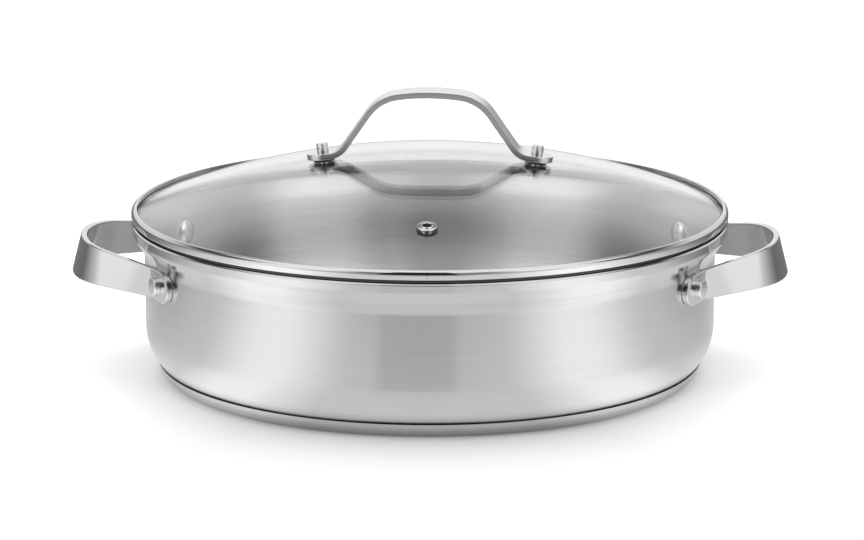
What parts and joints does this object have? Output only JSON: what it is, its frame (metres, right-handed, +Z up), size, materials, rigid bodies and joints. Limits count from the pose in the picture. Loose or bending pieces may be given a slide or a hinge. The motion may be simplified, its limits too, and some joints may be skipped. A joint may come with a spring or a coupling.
{
  "type": "saute pan with lid",
  "caption": "Low round steel pan with strap loop handles riveted to its sides, a capsule base and a loose domed glass lid with a steel band, a strap handle and a steam vent.",
  "frame": {"origin": "centre of the underside of the base, where the pan stands on the table", "axes": "+X runs through the two side handles to the right one, +Z is up, and the pan's front, as the picture shows it, looks along -Y"},
  "size_m": [0.3542, 0.2942, 0.1401],
  "materials": {
    "body_steel": "satin, brushed round the wall",
    "core_aluminium": "plain",
    "base_steel": "satin, brushed in circles",
    "handle_steel": "polished",
    "rivet_steel": "polished",
    "lid_glass": "clear, tempered",
    "rim_steel": "polished",
    "lid_handle_steel": "fine satin",
    "fastener_steel": "polished",
    "gasket_rubber": "matt black silicone",
    "vent_steel": "polished"
  },
  "bodies": {
    "pan": {"pan_body": "body_steel", "base_core": "core_aluminium", "base_cap": "base_steel", "left_handle": "handle_steel", "right_handle": "handle_steel", "left_front_rivet": "rivet_steel", "left_rear_rivet": "rivet_steel", "right_front_rivet": "rivet_steel", "right_rear_rivet": "rivet_steel"},
    "lid": {"lid_glass": "lid_glass", "lid_rim": "rim_steel", "lid_handle": "lid_handle_steel", "left_lid_stud": "fastener_steel", "right_lid_stud": "fastener_steel", "left_lid_screw": "fastener_steel", "right_lid_screw": "fastener_steel", "left_outer_gasket": "gasket_rubber", "right_outer_gasket": "gasket_rubber", "left_inner_gasket": "gasket_rubber", "right_inner_gasket": "gasket_rubber", "left_inner_washer": "fastener_steel", "right_inner_washer": "fastener_steel", "vent_eyelet": "vent_steel", "vent_washer": "gasket_rubber"}
  },
  "joints": [
    {"name": "lid_lift", "type": "slide", "parent": "pan", "child": "lid", "axis": [0, 0, 1], "range_m": [0, 0.15]}
  ]
}
